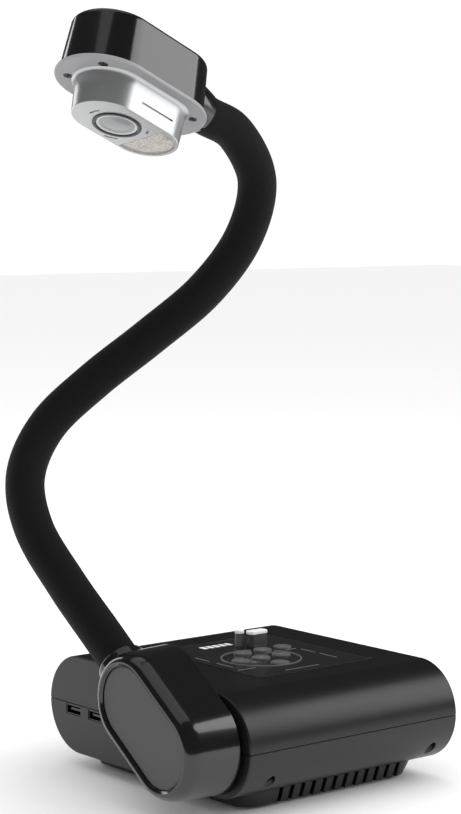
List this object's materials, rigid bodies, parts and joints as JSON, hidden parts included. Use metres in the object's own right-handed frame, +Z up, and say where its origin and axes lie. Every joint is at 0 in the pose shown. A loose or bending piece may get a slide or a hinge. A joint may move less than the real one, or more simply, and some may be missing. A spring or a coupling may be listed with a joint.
{
  "type": "document camera",
  "caption": "Document camera with a rounded desk base and key panel, tilting arm block, bendable gooseneck and a camera head with lens and lamp window.",
  "frame": {"origin": "point on the table under the middle of the base", "axes": "+X right along the vented front, +Y to the back, +Z up"},
  "size_m": [0.2045, 0.2316, 0.4694],
  "materials": {
    "cover_black": "satin moulded plastic, fine spark texture",
    "arm_gloss": "piano black",
    "cap_grey": "fine matt texture",
    "panel_gloss": "gloss printed label",
    "key_grey": "satin",
    "trim_grey": "satin",
    "neck_sleeve": "soft-touch, flocked look",
    "gooseneck_steel": "wound steel",
    "steel": "zinc plated",
    "hinge_alloy": "as cast",
    "bush_bronze": "sintered",
    "head_gloss": "piano black",
    "flange_grey": "satin, bright rim",
    "lens_silver": "silver satin",
    "ring_black": "gloss",
    "lens_glass": "coated",
    "lamp_clear": "clear with faint warm tint",
    "lamp_white": "lamp reflector, warm white",
    "ir_dark": "dark filter window",
    "foot_rubber": "matt",
    "mat_rubber": "silicone",
    "board_green": "solder mask",
    "socket_metal": "nickel plated",
    "socket_blue": "moulded insert",
    "socket_black": "moulded"
  },
  "bodies": {
    "base": {"top_cover": "cover_black", "bottom_cover": "cover_black", "base_pan": "cover_black", "feet": "foot_rubber", "cover_screws": "steel", "ballast_plate": "steel", "main_board": "board_green", "board_screws": "steel", "heat_sink": "hinge_alloy", "video_socket": "socket_metal", "data_socket": "socket_metal", "monitor_socket": "socket_blue", "power_inlet": "socket_black", "panel_overlay": "panel_gloss", "nav_ring": "trim_grey", "key_board": "board_green", "key_mat": "mat_rubber", "ir_window": "ir_dark", "hinge_bracket": "steel", "hinge_bush": "bush_bronze", "thrust_washer": "socket_black"},
    "arm_block": {"arm_shell": "arm_gloss", "arm_cap": "cap_grey", "arm_cover": "arm_gloss", "arm_frame": "hinge_alloy", "hinge_shaft": "steel", "spring_washer": "steel", "hinge_nut": "steel", "neck_collar": "arm_gloss", "neck_core_1": "gooseneck_steel", "neck_sleeve_1": "neck_sleeve"},
    "lower_neck": {"neck_core_2": "gooseneck_steel", "neck_sleeve_2": "neck_sleeve"},
    "upper_neck": {"neck_core_3": "gooseneck_steel", "neck_sleeve_3": "neck_sleeve"},
    "camera_head": {"neck_core_4": "gooseneck_steel", "neck_sleeve_4": "neck_sleeve", "head_collar": "head_gloss", "neck_nut": "steel", "head_housing": "head_gloss", "head_flange": "flange_grey", "lens_housing": "lens_silver", "lens_ring": "ring_black", "lens_barrel": "socket_black", "lens_glass": "lens_glass", "sensor_board": "board_green", "lamp_board": "mat_rubber", "lamp_leds": "lamp_white", "lamp_window": "lamp_clear", "head_screws": "steel"},
    "key_select": {"key_select": "key_grey"},
    "key_up": {"key_up": "key_grey"},
    "key_down": {"key_down": "key_grey"},
    "key_left": {"key_left": "key_grey"},
    "key_right": {"key_right": "key_grey"},
    "key_zoom": {"key_zoom": "key_grey"},
    "key_lamp": {"key_lamp": "key_grey"},
    "power_button": {"power_button": "key_grey"}
  },
  "joints": [
    {"name": "arm_pivot", "type": "hinge", "parent": "base", "child": "arm_block", "pos_m": [-0.09, -0.064, 0.042], "axis": [1, 0, 0], "range_deg": [-35, 0]},
    {"name": "neck_low_flex", "type": "hinge", "parent": "arm_block", "child": "lower_neck", "pos_m": [-0.1045, 0.012, 0.096], "axis": [1, 0, 0], "range_deg": [-12, 15]},
    {"name": "neck_mid_flex", "type": "hinge", "parent": "lower_neck", "child": "upper_neck", "pos_m": [-0.041, 0.108, 0.241], "axis": [0.4801, 0.8772, 0], "range_deg": [-15, 15]},
    {"name": "neck_top_flex", "type": "hinge", "parent": "upper_neck", "child": "camera_head", "pos_m": [0.038, 0.039, 0.369], "axis": [0, 1, 0], "range_deg": [-18, 18]},
    {"name": "key_select_press", "type": "slide", "parent": "base", "child": "key_select", "axis": [0, 0, -1], "range_m": [0, 0.0005], "stiffness_N_per_m": 300, "springref_m": -0.001},
    {"name": "key_up_press", "type": "slide", "parent": "base", "child": "key_up", "axis": [0, 0, -1], "range_m": [0, 0.0005], "stiffness_N_per_m": 300, "springref_m": -0.001},
    {"name": "key_down_press", "type": "slide", "parent": "base", "child": "key_down", "axis": [0, 0, -1], "range_m": [0, 0.0005], "stiffness_N_per_m": 300, "springref_m": -0.001},
    {"name": "key_left_press", "type": "slide", "parent": "base", "child": "key_left", "axis": [0, 0, -1], "range_m": [0, 0.0005], "stiffness_N_per_m": 300, "springref_m": -0.001},
    {"name": "key_right_press", "type": "slide", "parent": "base", "child": "key_right", "axis": [0, 0, -1], "range_m": [0, 0.0005], "stiffness_N_per_m": 300, "springref_m": -0.001},
    {"name": "key_zoom_press", "type": "slide", "parent": "base", "child": "key_zoom", "axis": [0, 0, -1], "range_m": [0, 0.0005], "stiffness_N_per_m": 300, "springref_m": -0.001},
    {"name": "key_lamp_press", "type": "slide", "parent": "base", "child": "key_lamp", "axis": [0, 0, -1], "range_m": [0, 0.0005], "stiffness_N_per_m": 300, "springref_m": -0.001},
    {"name": "power_button_press", "type": "slide", "parent": "base", "child": "power_button", "axis": [0, 0, -1], "range_m": [0, 0.0005], "stiffness_N_per_m": 300, "springref_m": -0.001}
  ]
}
